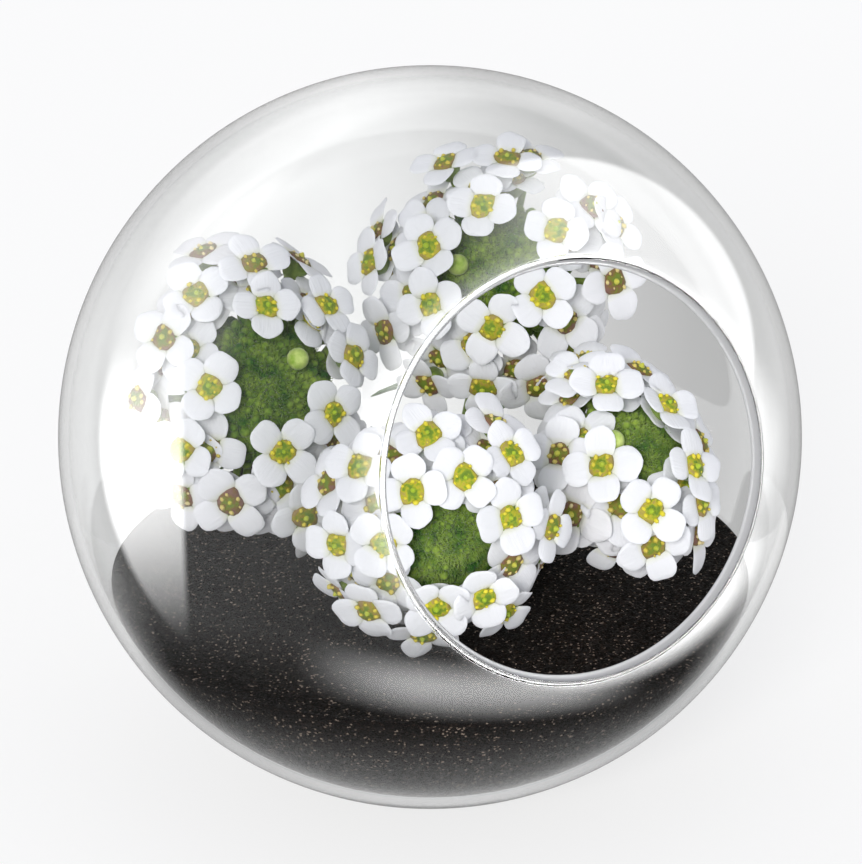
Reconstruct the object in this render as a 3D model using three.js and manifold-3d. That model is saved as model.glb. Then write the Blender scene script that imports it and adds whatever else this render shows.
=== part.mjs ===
// Sweet alyssum planted in a clear glass globe.
//
// The globe is one blown piece of glass with a round mouth in its side and a flat ground on its
// bottom. Dark grit fills its lower third. Four stems stand in the grit, and each ends in a domed
// flower head: green buds in the middle, and rings of white four-petalled florets round them, each
// with a green eye on a thin stalk of its own.
//
// Lengths are in millimetres. +Z is up, and the origin is the centre of the flat under the globe.
// The mouth looks towards -Y, turned a little towards +X and upwards.

import * as THREE from "three";
import { mergeVertices } from "three/addons/utils/BufferGeometryUtils.js";
import Module from "manifold-3d";

const wasm = await Module();
wasm.setup();

const rad = THREE.MathUtils.degToRad;

// Driving dimensions

const GLOBE_RADIUS = 35;
const WALL = 1.0;
const BASE_RADIUS = 11.5; // of the ground flat that the globe stands on
const FLOOR = 2.2; // thickness of the glass over that flat
const MOUTH_HALF_ANGLE = rad(32); // seen from the globe's centre
const MOUTH_TURN = rad(27.5); // from -Y towards +X
const MOUTH_RISE = rad(15.5);
const LIP_RADIUS = 0.75; // of the fire-polished bead round the mouth
const GRIT_DROP = 14.2; // from the globe's centre down to the grit's surface
const GRIT_CROWN = 1.1; // how much the grit rises towards its middle
const GAP = 0.3; // between neighbouring pieces

const PETAL_REACH = 4.15; // from the middle of a floret to a petal's tip
const PETAL_THICKNESS = 0.7;
const PETAL_CUP = 0.5; // how far the petals' tips stand above the floret's middle
const EYE_RADIUS = 1.55; // to the corners of the four-sided eye
const EYE_TOP = 1.1;
const EYE_SHOULDER = 0.45; // the eye's full width reaches up to here
const CALYX_SHOULDER = 0.9; // and down to here, under the petals
const CALYX_LENGTH = 2.3;
const STALK_RADIUS = 0.42;
const STALK_LAP = 0.6; // how far a stalk goes into its calyx
const STEM_RADIUS = 0.8;
const STEM_TOP = 3.5; // how far the stem goes into the dome, past its crown
const STEM_NECK = 3; // the straight part under the dome
const STEM_LIFT = 0.62; // pull of the curve's foot upwards, as a share of its rise
const STEM_REACH = 0.42; // and of its top back along the dome's axis
const ROOT_DEPTH = 6;
const BUD_RADIUS = 0.85;
const BUD_COUNT = 6; // of those that stand out of each head's green cone
const BUD_SPREAD = 3.5;
const BUD_CONE_SIDES = 7;
const LEAF_THICKNESS = 0.6;

const GLOBE_TURNS = 28; // facets round the mouth's axis
const GLOBE_STEPS = 10; // facets from the back of the globe to the mouth
const LIP_STEPS = 5; // facets round the bead
const GRIT_RINGS = 3; // facets from the middle of the grit's surface to its edge
const STEM_STEPS = 9;

const CENTRE_HEIGHT = Math.sqrt(GLOBE_RADIUS ** 2 - BASE_RADIUS ** 2);
const GRIT_LEVEL = CENTRE_HEIGHT - GRIT_DROP;

// The four heads. crown is the middle of the dome's foot, from the globe's centre; axis points
// out of the dome; root is where the stem leaves the grit. halfAxes are the dome's, across, up
// and along its axis. Each ring is [degrees from the axis, florets, how far the ring is turned].
// Each leaf is [place along the stem from 0 to 1, degrees round it, length].
const HEADS = [
  {
    name: "left",
    seed: 71,
    crown: [-16.7, 2.4, 3.3],
    axis: [0.255, -0.818, 0.515],
    root: [-7, 4],
    halfAxes: [11.3, 14.7, 8.2],
    rings: [[31, 4, 0.82], [55, 9, 0.0], [83, 6, 0.72]],
    leaves: [[0.35, 100, 10], [0.5, 215, 9], [0.62, 330, 8]],
  },
  {
    name: "back",
    seed: 386,
    crown: [6.6, 14.5, 10.3],
    axis: [-0.128, -0.864, 0.486],
    root: [2, 8],
    halfAxes: [12.9, 12.5, 9.8],
    rings: [[31, 6, 0.58], [66, 8, 0.76], [80, 5, 0.25]],
    leaves: [[0.3, 60, 10], [0.42, 185, 10], [0.56, 310, 9]],
  },
  {
    name: "front",
    seed: 369,
    crown: [0.6, -17.0, -1.0],
    axis: [0.144, -0.979, 0.146],
    root: [0, -4],
    halfAxes: [10.9, 10.8, 8.2],
    rings: [[32, 6, 0.12], [66, 8, 0.0], [92, 4, 0.55]],
    leaves: [[0.4, 90, 8]],
  },
  {
    name: "right",
    seed: 238,
    crown: [17.8, -3.3, -1.7],
    axis: [0.328, -0.634, 0.7],
    root: [9, 3],
    halfAxes: [7.8, 10.9, 8.2],
    rings: [[36, 5, 0.5], [62, 6, 0.1], [80, 3, 0.52]],
    leaves: [[0.35, 80, 9], [0.5, 200, 8]],
  },
];

// How far chance moves each floret from its even place in its ring, by draws that are counted
// from the head's seed.
const RING_ITEMS = 17; // between the first items of two rings
const TILT_SCATTER = 10; // degrees
const TURN_SCATTER = 0.5; // of the step between florets
const SWELL_SCATTER = 0.05; // of the half axes
const TWIST_SCATTER = 24; // degrees

const RACHIS_FOOT = [2.6, 0.4, -2.2]; // where each ring's stalks leave the stem, along the axis

// Outlines, as [distance from the axis, height] or [place along, half width].
const BUD_CONE = [[0, -3.4], [1.6, -2.4], [3.6, 2.6], [3.3, 5.0], [0, 6.4]];
const BUD_DOME = { top: 6.6, fall: 0.13 }; // height of a bud's middle: top - fall times distance squared
const LEAF_OUTLINE = [[0, 0.35], [0.3, 0.85], [0.62, 1.2], [1, 0.12]]; // the first as a share of length
const LEAF_ARCH = { rise: 0.55, fall: 0.5 }; // height over length: rise s - fall s squared
const PETAL_OUTLINE = [[-21, 0.97], [21, 0.97], [45, 0.5]]; // degrees from the petal's middle, reach
const GOLDEN_ANGLE = Math.PI * (3 - Math.sqrt(5));

// Solids

// A closed geometry as a manifold-3d solid, with its doubled vertices merged.
function solid(geometry, matrix) {
  const source = geometry.index ? geometry.toNonIndexed() : geometry.clone();
  const bare = new THREE.BufferGeometry().setAttribute("position", source.getAttribute("position"));
  if (matrix) bare.applyMatrix4(matrix);
  const merged = mergeVertices(bare, 1e-4);
  const index = merged.index.array;
  const faces = [];
  for (let i = 0; i < index.length; i += 3) {
    const [a, b, c] = index.slice(i, i + 3);
    if (a !== b && b !== c && c !== a) faces.push(a, b, c);
  }
  return new wasm.Manifold(
    new wasm.Mesh({
      numProp: 3,
      vertProperties: merged.attributes.position.array,
      triVerts: new Uint32Array(faces),
    }),
  );
}

function joined(solids) {
  return solids.reduce((whole, piece) => whole.add(piece));
}

// The largest of the bodies that a cut has left, without its loose scraps.
function largest(cut) {
  const bodies = cut.decompose();
  return bodies.reduce((most, body) => (body.volume() > most.volume() ? body : most));
}

function namedMesh(name, shape, material) {
  const { vertProperties, triVerts, numProp } = shape.getMesh();
  const corners = new Float32Array((vertProperties.length / numProp) * 3);
  for (let i = 0; i < corners.length / 3; i++) {
    corners.set(vertProperties.subarray(i * numProp, i * numProp + 3), i * 3);
  }
  const geometry = new THREE.BufferGeometry();
  geometry.setAttribute("position", new THREE.BufferAttribute(corners, 3));
  geometry.setIndex(new THREE.BufferAttribute(new Uint32Array(triVerts), 1));
  geometry.computeVertexNormals();
  const mesh = new THREE.Mesh(geometry, material);
  mesh.name = name;
  return mesh;
}

// A repeatable number from 0 to 1 for a floret or bud, the same on every run.
function draw(item, use) {
  const wave = Math.sin(item * 12.9898 + use * 78.233) * 43758.5453;
  return wave - Math.floor(wave);
}

// Glass globe

const globeCentre = new THREE.Vector3(0, 0, CENTRE_HEIGHT);
const mouthAxis = new THREE.Vector3(
  Math.sin(MOUTH_TURN) * Math.cos(MOUTH_RISE),
  -Math.cos(MOUTH_TURN) * Math.cos(MOUTH_RISE),
  Math.sin(MOUTH_RISE),
);
const mouthFrame = new THREE.Matrix4().compose(
  globeCentre,
  new THREE.Quaternion().setFromUnitVectors(new THREE.Vector3(0, 1, 0), mouthAxis),
  new THREE.Vector3(1, 1, 1),
);

// Points on a circle of a lathe's profile, from one angle to another, measured from the axis.
function arc(radius, from, to, steps, centre = new THREE.Vector2()) {
  return Array.from({ length: steps + 1 }, (_, i) => {
    const angle = from + ((to - from) * i) / steps;
    return new THREE.Vector2(radius * Math.sin(angle), radius * Math.cos(angle)).add(centre);
  });
}

// Where a circle round the globe's centre meets the lip's bead, as an angle from the mouth's axis.
function lipEdge(radius) {
  const middle = GLOBE_RADIUS - WALL / 2;
  const cosine = (middle ** 2 + radius ** 2 - LIP_RADIUS ** 2) / (2 * middle * radius);
  return MOUTH_HALF_ANGLE + Math.acos(cosine);
}

// A ball inside the globe, with its facets where the globe's are.
function ball(radius) {
  const rim = lipEdge(GLOBE_RADIUS - WALL);
  const profile = [...arc(radius, Math.PI, rim, GLOBE_STEPS), ...arc(radius, rim, 0, 3).slice(1)];
  profile[0].x = 0;
  profile.at(-1).x = 0;
  return solid(new THREE.LatheGeometry(profile, GLOBE_TURNS), mouthFrame);
}

// A slab of the whole width of the globe, from one height to another.
function slab(low, high) {
  const box = new THREE.BoxGeometry(3 * GLOBE_RADIUS, 3 * GLOBE_RADIUS, high - low);
  return solid(box, new THREE.Matrix4().makeTranslation(0, 0, (low + high) / 2));
}

function globe() {
  const inside = GLOBE_RADIUS - WALL;
  const middle = GLOBE_RADIUS - WALL / 2;
  const lip = new THREE.Vector2(
    middle * Math.sin(MOUTH_HALF_ANGLE),
    middle * Math.cos(MOUTH_HALF_ANGLE),
  );
  const outer = arc(GLOBE_RADIUS, Math.PI, lipEdge(GLOBE_RADIUS), GLOBE_STEPS);
  const inner = arc(inside, lipEdge(inside), Math.PI, GLOBE_STEPS);
  outer[0].x = 0;
  inner.at(-1).x = 0;
  const start = outer.at(-1).clone().sub(lip);
  const end = inner[0].clone().sub(lip);
  const from = Math.atan2(start.x, start.y);
  const to = Math.atan2(end.x, end.y);
  const bead = arc(LIP_RADIUS, from, to, LIP_STEPS, lip).slice(1, -1);
  const shell = solid(new THREE.LatheGeometry([...outer, ...bead, ...inner], GLOBE_TURNS), mouthFrame);
  const floor = ball(GLOBE_RADIUS).intersect(slab(0, FLOOR));
  return shell.intersect(slab(0, 3 * GLOBE_RADIUS)).add(floor);
}

// Grit

// The grit's surface is a low mound: highest in the middle, level with GRIT_LEVEL at the glass.
function mound() {
  const profile = [new THREE.Vector2(0, FLOOR + GAP), new THREE.Vector2(GLOBE_RADIUS, FLOOR + GAP)];
  for (let i = GRIT_RINGS; i >= 0; i--) {
    const share = i / GRIT_RINGS;
    const rise = GRIT_CROWN * Math.cos((share * Math.PI) / 2) ** 2;
    profile.push(new THREE.Vector2(GLOBE_RADIUS * share, GRIT_LEVEL + rise));
  }
  const upright = new THREE.Matrix4().makeRotationX(Math.PI / 2);
  return solid(new THREE.LatheGeometry(profile, GLOBE_TURNS), upright);
}

function grit() {
  const holes = joined(HEADS.map((head) => stem(head, STEM_RADIUS + GAP, ROOT_DEPTH + GAP)));
  return ball(GLOBE_RADIUS - WALL - GAP).intersect(mound()).subtract(holes);
}

// Stems, florets, buds and leaves

function vector([x, y, z]) {
  return new THREE.Vector3(x, y, z);
}

function crownOf(head) {
  return vector(head.crown).add(globeCentre);
}

function axisOf(head) {
  return vector(head.axis).normalize();
}

// The stem's middle line: straight up out of the grit, then over to the crown along its axis.
function stemPath(head, depth) {
  const foot = new THREE.Vector3(head.root[0], head.root[1], GRIT_LEVEL - depth);
  const top = crownOf(head).addScaledVector(axisOf(head), STEM_TOP);
  const rise = top.z - foot.z;
  const lift = foot.clone().add(new THREE.Vector3(0, 0, STEM_LIFT * rise));
  const reach = top.clone().addScaledVector(axisOf(head), -STEM_REACH * rise - STEM_NECK);
  return new THREE.CubicBezierCurve3(foot, lift, reach, top);
}

// A regular polygon as a shape to extrude, with its corners on a circle.
function polygon(radius, sides) {
  const corners = Array.from({ length: sides }, (_, i) => {
    const angle = (2 * Math.PI * i) / sides;
    return new THREE.Vector2(radius * Math.cos(angle), radius * Math.sin(angle));
  });
  return new THREE.Shape(corners);
}

function stem(head, radius, depth) {
  const extrudePath = stemPath(head, depth);
  return solid(new THREE.ExtrudeGeometry(polygon(radius, 6), { extrudePath, steps: STEM_STEPS }));
}

// Every floret of a head, as the frame that its middle stands in (Z out of the floret) and the
// point on the stem that its stalk comes from. Each is turned so that one of its petals points at
// the nearest floret before it and lies on it.
function floretsOf(head) {
  const crown = crownOf(head);
  const axis = axisOf(head);
  const side = new THREE.Vector3(0, 0, 1).cross(axis).normalize();
  const over = axis.clone().cross(side);
  const inDome = ([x, y, z]) =>
    side.clone().multiplyScalar(x).addScaledVector(over, y).addScaledVector(axis, z);
  const florets = [];
  head.rings.forEach(([tilt, count, turn], ring) => {
    for (let i = 0; i < count; i++) {
      const item = head.seed + RING_ITEMS * ring + i;
      const polar = rad(tilt + TILT_SCATTER * (draw(item, 1) - 0.5));
      const azimuth = (2 * Math.PI * (i + turn + TURN_SCATTER * (draw(item, 2) - 0.5))) / count;
      const swell = 1 + SWELL_SCATTER * (draw(item, 3) - 0.5);
      const place = [
        Math.cos(azimuth) * Math.sin(polar),
        Math.sin(azimuth) * Math.sin(polar),
        Math.cos(polar),
      ];
      const middle = inDome(place.map((share, k) => share * swell * head.halfAxes[k])).add(crown);
      const normal = inDome(place.map((share, k) => share / head.halfAxes[k])).normalize();
      const nearest = florets.reduce(
        (best, other) =>
          !best || other.middle.distanceTo(middle) < best.distanceTo(middle) ? other.middle : best,
        null,
      );
      const towards = nearest ? nearest.clone().sub(middle) : side.clone();
      const first = towards
        .addScaledVector(normal, -towards.dot(normal))
        .normalize()
        .applyAxisAngle(normal, rad(TWIST_SCATTER) * (draw(item, 4) - 0.5));
      const frame = new THREE.Matrix4()
        .makeBasis(first, normal.clone().cross(first), normal)
        .setPosition(middle);
      const foot = crown.clone().addScaledVector(axis, RACHIS_FOOT[ring]);
      florets.push({ frame, middle, normal, foot });
    }
  });
  return florets;
}

// One floret's four round petals, joined round a square hole that the eye stands in.
function petalPlate() {
  const outline = [];
  for (let petal = 0; petal < 4; petal++) {
    for (const [degrees, share] of PETAL_OUTLINE) {
      const angle = rad(degrees + 90 * petal);
      const reach = PETAL_REACH * share;
      outline.push(new THREE.Vector2(reach * Math.cos(angle), reach * Math.sin(angle)));
    }
  }
  const shape = new THREE.Shape(outline);
  shape.holes.push(polygon(EYE_RADIUS + 2 * GAP, 4));
  const plate = new THREE.ExtrudeGeometry(shape, { depth: PETAL_THICKNESS, bevelEnabled: false });
  const corners = plate.getAttribute("position");
  for (let i = 0; i < corners.count; i++) {
    const reach = Math.hypot(corners.getX(i), corners.getY(i)) / PETAL_REACH;
    corners.setZ(i, corners.getZ(i) - PETAL_THICKNESS / 2 + PETAL_CUP * reach ** 2);
  }
  return plate;
}

// The green middle of a floret: a calyx that widens from the stalk, and the eye on top of it.
// extra is how much wider it is made when it is used to cut its own clearance.
function eye(extra = 0) {
  const radius = EYE_RADIUS + extra * Math.SQRT2;
  const profile = [
    new THREE.Vector2(0, -CALYX_LENGTH - extra),
    new THREE.Vector2(radius, -CALYX_SHOULDER - extra),
    new THREE.Vector2(radius, EYE_SHOULDER + extra),
    new THREE.Vector2(0, EYE_TOP + extra),
  ];
  return new THREE.LatheGeometry(profile, 4).rotateX(Math.PI / 2);
}

// A straight three-sided stalk from the stem into the foot of a floret's calyx.
function stalk(floret, extra = 0) {
  const top = floret.middle.clone().addScaledVector(floret.normal, STALK_LAP - CALYX_LENGTH);
  const line = top.clone().sub(floret.foot);
  const rod = new THREE.ExtrudeGeometry(polygon(STALK_RADIUS + extra, 3), {
    depth: line.length(),
    bevelEnabled: false,
  });
  const turned = new THREE.Matrix4().compose(
    floret.foot,
    new THREE.Quaternion().setFromUnitVectors(new THREE.Vector3(0, 0, 1), line.clone().normalize()),
    new THREE.Vector3(1, 1, 1),
  );
  return solid(rod, turned);
}

function petals(head) {
  const plate = petalPlate();
  const florets = floretsOf(head);
  const white = joined(florets.map(({ frame }) => solid(plate, frame)));
  const room = florets.flatMap((floret) => [solid(eye(GAP), floret.frame), stalk(floret, GAP)]);
  return largest(white.subtract(joined(room)));
}

// The unopened buds: a green cone with round buds standing out of it on a spiral.
function buds(head) {
  const upright = new THREE.Quaternion().setFromUnitVectors(new THREE.Vector3(0, 1, 0), axisOf(head));
  const place = new THREE.Matrix4().compose(crownOf(head), upright, new THREE.Vector3(1, 1, 1));
  const profile = BUD_CONE.map(([x, y]) => new THREE.Vector2(x, y));
  const pieces = [solid(new THREE.LatheGeometry(profile, BUD_CONE_SIDES), place)];
  for (let i = 0; i < BUD_COUNT; i++) {
    const reach = BUD_SPREAD * Math.sqrt((i + 0.2) / BUD_COUNT);
    const angle = i * GOLDEN_ANGLE;
    const height = BUD_DOME.top - BUD_DOME.fall * reach ** 2;
    const bud = new THREE.OctahedronGeometry(BUD_RADIUS, 0).translate(
      reach * Math.cos(angle),
      height,
      reach * Math.sin(angle),
    );
    pieces.push(solid(bud, place));
  }
  return joined(pieces);
}

// A narrow leaf that arches away from the stem.
function leaf(head, [place, degrees, length]) {
  const upper = LEAF_OUTLINE.map(([x, y]) => new THREE.Vector2(x * length, y));
  const lower = upper.map((p) => new THREE.Vector2(p.x, -p.y)).reverse();
  const blade = new THREE.ExtrudeGeometry(new THREE.Shape([...upper, ...lower]), {
    depth: LEAF_THICKNESS,
    bevelEnabled: false,
  });
  const corners = blade.getAttribute("position");
  for (let i = 0; i < corners.count; i++) {
    const share = corners.getX(i) / length;
    corners.setZ(i, corners.getZ(i) + length * (LEAF_ARCH.rise * share - LEAF_ARCH.fall * share ** 2));
  }
  const foot = stemPath(head, ROOT_DEPTH).getPoint(place);
  const turn = new THREE.Matrix4().makeRotationZ(rad(degrees)).setPosition(foot);
  return solid(blade, turn);
}

function greens(head) {
  const eyes = floretsOf(head).flatMap((floret) => [solid(eye(), floret.frame), stalk(floret)]);
  const leaves = head.leaves.map((spec) => leaf(head, spec));
  return joined([stem(head, STEM_RADIUS, ROOT_DEPTH), buds(head), ...leaves, ...eyes]);
}

// Assembly

const glassMaterial = new THREE.MeshStandardMaterial({
  color: 0xe9eeee,
  roughness: 0.04,
  metalness: 0,
  transparent: true,
  opacity: 0.3,
});
const gritMaterial = new THREE.MeshStandardMaterial({ color: 0x201d1c, roughness: 0.95, metalness: 0 });
const petalMaterial = new THREE.MeshStandardMaterial({ color: 0xf6f7fb, roughness: 0.6, metalness: 0 });
const greenMaterial = new THREE.MeshStandardMaterial({ color: 0x6a9433, roughness: 0.6, metalness: 0 });

const planter = new THREE.Group();
planter.add(namedMesh("glass_globe", globe(), glassMaterial));
planter.add(namedMesh("grit", grit(), gritMaterial));
for (const head of HEADS) {
  planter.add(namedMesh(`${head.name}_stem_and_buds`, greens(head), greenMaterial));
  planter.add(namedMesh(`${head.name}_petals`, petals(head), petalMaterial));
}

export default planter;
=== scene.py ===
"""Sweet alyssum planted in a clear glass globe.

The solids come packed, in metres, with +Z up and the origin under the globe. Here each of them is
dressed: the glass, the grit and the four flower heads get their fine surfaces and finishes. Sizes
are in millimetres until a mesh is made of them.
"""

import math

import bpy
import numpy as np
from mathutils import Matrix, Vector


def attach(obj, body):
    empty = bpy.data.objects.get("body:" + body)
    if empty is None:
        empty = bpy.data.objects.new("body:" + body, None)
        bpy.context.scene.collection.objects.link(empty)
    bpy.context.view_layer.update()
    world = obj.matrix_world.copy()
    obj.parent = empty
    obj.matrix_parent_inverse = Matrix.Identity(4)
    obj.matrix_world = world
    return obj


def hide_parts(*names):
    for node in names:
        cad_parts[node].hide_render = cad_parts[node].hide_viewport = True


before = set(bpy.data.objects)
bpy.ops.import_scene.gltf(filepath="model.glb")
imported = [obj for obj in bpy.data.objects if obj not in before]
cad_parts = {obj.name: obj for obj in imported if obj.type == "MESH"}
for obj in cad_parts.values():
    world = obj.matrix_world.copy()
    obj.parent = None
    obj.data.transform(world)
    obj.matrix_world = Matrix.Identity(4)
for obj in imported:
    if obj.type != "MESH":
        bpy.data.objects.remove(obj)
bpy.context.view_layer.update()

# ---------------------------------------------------------------------------------------------
# Camera
# It stands half a metre off and looks down on the globe through a long lens, so that the heads
# at the back look as large as those in front.

MM = 0.001
GLOBE_RADIUS = 35.0
FLAT_RADIUS = 11.5  # of the flat that the globe stands on
CENTRE = np.array([0.0, 0.0, math.sqrt(GLOBE_RADIUS**2 - FLAT_RADIUS**2)])

CAMERA_DISTANCE = 500.0
CAMERA_HEIGHT = math.radians(24)  # above the horizon
SENSOR = 36.0
IMAGE_HEIGHT = 864  # pixels, along the sensor's long side
GLOBE_IN_IMAGE = 372  # the globe's radius in pixels
CENTRE_IN_IMAGE = (-1, -5)  # the globe's centre, right of and above the middle, in pixels
CLIPPING = (0.01, 20.0)  # metres

TO_CAMERA = np.array([0.0, -math.cos(CAMERA_HEIGHT), math.sin(CAMERA_HEIGHT)])
CAMERA_RIGHT = np.array([1.0, 0.0, 0.0])
CAMERA_UP = np.cross(TO_CAMERA, CAMERA_RIGHT)


def add_camera():
    """The focal length, in pixels, that draws the globe's outline at its size: the outline's
    radius times sqrt(d^2 - r^2) / r, at distance d from a globe of radius r."""
    sight = math.sqrt(CAMERA_DISTANCE**2 - GLOBE_RADIUS**2) / GLOBE_RADIUS
    focal = GLOBE_IN_IMAGE * sight
    mm_per_pixel = CAMERA_DISTANCE / focal
    right, up = CENTRE_IN_IMAGE
    aim = CENTRE - mm_per_pixel * (right * CAMERA_RIGHT + up * CAMERA_UP)
    data = bpy.data.cameras.new("camera")
    data.lens = focal * SENSOR / IMAGE_HEIGHT
    data.sensor_width = SENSOR
    data.clip_start, data.clip_end = CLIPPING
    camera = bpy.data.objects.new("camera", data)
    camera.location = Vector((aim + CAMERA_DISTANCE * TO_CAMERA) * MM)
    camera.rotation_euler = Vector(TO_CAMERA).to_track_quat("Z", "Y").to_euler()
    bpy.context.scene.collection.objects.link(camera)
    bpy.context.scene.camera = camera


add_camera()

# ---------------------------------------------------------------------------------------------
# Glass globe
# One blown piece of clear soda-lime glass. Its round side mouth has a fire-polished bead for a
# lip, and its bottom is ground flat and thicker than the wall.

WALL = 1.0
FLOOR = 2.2  # thickness of the glass over the flat
MOUTH_HALF_ANGLE = math.radians(32)  # seen from the globe's centre
MOUTH_TURN = math.radians(27.5)  # from -Y towards +X
MOUTH_RISE = math.radians(15.5)
LIP_RADIUS = 0.75
EDGE_ROUNDING = 0.25  # of the ground flat's edge
NEAR_AXIS = 0.01  # radius of the first and the last ring of points
GLOBE_ROWS, BEAD_ROWS, GLOBE_TURNS = 150, 16, 200  # points along a wall, over the bead, and round
GLASS_COLOUR = (0.945, 0.95, 0.95, 1.0)
GLASS_INDEX = 1.52
# The lip's milky white is a painted glow, for light that the wall carries to the bead.
LIP_PAINTED_GLOW_COLOUR = "#f3f4f6"
LIP_CLEARNESS = 0.15
LIP_ALPHA = 0.5
WHITE = (1.0, 1.0, 1.0, 1.0)
SHADE_OF_GLASS = 0.9  # the lamp's light that each surface lets through
MOUTH_AXIS = np.array([
    math.sin(MOUTH_TURN) * math.cos(MOUTH_RISE),
    -math.cos(MOUTH_TURN) * math.cos(MOUTH_RISE),
    math.sin(MOUTH_RISE),
])


def linear(hex_colour):
    """The linear RGBA of an sRGB hex colour: ((c + 0.055) / 1.055) ** 2.4, or c / 12.92 near
    black."""
    srgb = [int(hex_colour[i:i + 2], 16) / 255 for i in (1, 3, 5)]
    return (*[((c + 0.055) / 1.055) ** 2.4 if c > 0.04045 else c / 12.92 for c in srgb], 1.0)


def add_node(tree, kind, inputs=None, stops=None, **settings):
    """Adds one node. An input is a value, or the output socket that it is linked to. stops are a
    colour ramp's places and colours."""
    made = tree.nodes.new(kind)
    for name, value in settings.items():
        setattr(made, name, value)
    for name, value in (inputs or {}).items():
        if isinstance(value, bpy.types.NodeSocket):
            tree.links.new(value, made.inputs[name])
        else:
            made.inputs[name].default_value = value
    for i, (place, colour) in enumerate(stops or ()):
        elements = made.color_ramp.elements
        element = elements[i] if i < 2 else elements.new(place)
        element.position = place
        element.color = linear(colour)
    return made


def mixed_shaders(tree, share, first, second):
    return add_node(tree, "ShaderNodeMixShader", {
        0: share, 1: first.outputs[0], 2: second.outputs[0]})


def new_material(name):
    """A material with an empty node tree and its output node."""
    material = bpy.data.materials.new(name)
    material.use_nodes = True
    tree = material.node_tree
    tree.nodes.clear()
    return material, tree, tree.nodes.new("ShaderNodeOutputMaterial")


def grid_faces(rows, columns, closed=True):
    """The quads of a grid of points, row by row. closed joins the last column to the first."""
    row, column = np.mgrid[0:rows - 1, 0:columns if closed else columns - 1]
    after = (column + 1) % columns
    here, below = row * columns, (row + 1) * columns
    corners = [here + column, here + after, below + after, below + column]
    return np.stack(corners, axis=-1).reshape(-1, 4)


def capped(points, tips=None):
    """Quads of a turned or swept grid of points, with both ends closed by a fan round one point:
    a tip, or the end ring's middle. The number of columns is even."""
    rows, columns = points.shape[:2]
    if tips is None:
        tips = np.stack([points[0].mean(axis=0), points[-1].mean(axis=0)])
    column = np.arange(0, columns, 2)
    after, beyond = column + 1, (column + 2) % columns
    first, top = rows * columns, (rows - 1) * columns
    low = np.stack([np.full_like(column, first), beyond, after, column], axis=1)
    high = np.stack([np.full_like(column, first + 1), top + column, top + after, top + beyond],
                    axis=1)
    return (np.concatenate([points.reshape(-1, 3), tips]),
            np.concatenate([grid_faces(rows, columns), low, high]))


def joined(parts):
    """Joins (points, faces) pairs, and also gives each face's part number."""
    starts = np.cumsum([0] + [len(points) for points, _ in parts])
    return (np.concatenate([points for points, _ in parts]),
            np.concatenate([faces + start for (_, faces), start in zip(parts, starts)]),
            np.repeat(np.arange(len(parts)), [len(faces) for _, faces in parts]))


def add_piece(name, points, faces, materials, replaces=(), kinds=None, values=None, uv=None,
              rim=None):
    """Makes one mesh object from points in millimetres and quads, and hands it to the frame. kinds
    is each face's material, values holds named numbers for each point, uv is each point's place
    in the pattern, and rim marks the points of sharp edges."""
    points = np.asarray(points, dtype=float).reshape(-1, 3)
    faces = np.asarray(faces).reshape(-1, 4)
    mesh = bpy.data.meshes.new(name)
    mesh.vertices.add(len(points))
    mesh.vertices.foreach_set("co", (points * MM).ravel())
    mesh.loops.add(faces.size)
    mesh.loops.foreach_set("vertex_index", faces.ravel().astype(np.int32))
    mesh.polygons.add(len(faces))
    mesh.polygons.foreach_set("loop_start", np.arange(0, faces.size, 4, dtype=np.int32))
    for material in materials:
        mesh.materials.append(material)
    if kinds is not None:
        mesh.polygons.foreach_set("material_index", np.asarray(kinds, dtype=np.int32))
    for key, numbers in (values or {}).items():
        mesh.attributes.new(key, "FLOAT", "POINT").data.foreach_set("value", np.ravel(numbers))
    if uv is not None:
        places = np.asarray(uv, dtype=float).reshape(-1, 2)[faces.ravel()]
        mesh.uv_layers.new(name="pattern").data.foreach_set("uv", places.ravel())
    mesh.update(calc_edges=True)
    mesh.validate()
    mesh.polygons.foreach_set("use_smooth", np.ones(len(mesh.polygons), dtype=bool))
    if rim is not None:
        ends = np.empty(2 * len(mesh.edges), dtype=np.int32)
        mesh.edges.foreach_get("vertices", ends)
        mesh.edges.foreach_set("use_edge_sharp", rim[ends].reshape(-1, 2).all(axis=1))
    piece = bpy.data.objects.new(name, mesh)
    bpy.context.scene.collection.objects.link(piece)
    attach(piece, "root")
    if replaces:
        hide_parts(*replaces)


def turned_to(axis):
    """Three columns: two directions square to axis, and axis itself."""
    axis = np.asarray(axis) / np.linalg.norm(axis)
    side = np.cross([0, 0, 1], axis)
    side /= np.linalg.norm(side)
    return np.stack([side, np.cross(axis, side), axis], axis=1)


def round_axis(radius, angle, height):
    """Points at these distances from the z axis, angles round it and heights."""
    return np.stack(np.broadcast_arrays(
        radius * np.cos(angle), radius * np.sin(angle), height), axis=-1)


def lathe(profile, turns, frame_columns, centre):
    """A profile of (distance from the axis, place along it) carried once round the axis."""
    angle = np.linspace(0, 2 * np.pi, turns, endpoint=False)
    return round_axis(profile[:, :1], angle, profile[:, 1:]) @ frame_columns.T + centre


def arc(radius, start, end, steps, centre=(0, 0)):
    """Points of a circle as (r sin a, r cos a), for angles from start to end."""
    angle = np.linspace(start, end, steps)
    return np.stack([radius * np.sin(angle), radius * np.cos(angle)], axis=1) + centre


def lifted(height, least, rounding):
    """A smooth maximum of height and least: their mean plus half of
    sqrt(difference^2 + rounding^2)."""
    return (height + least) / 2 + np.sqrt((height - least) ** 2 + rounding**2) / 2


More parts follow.
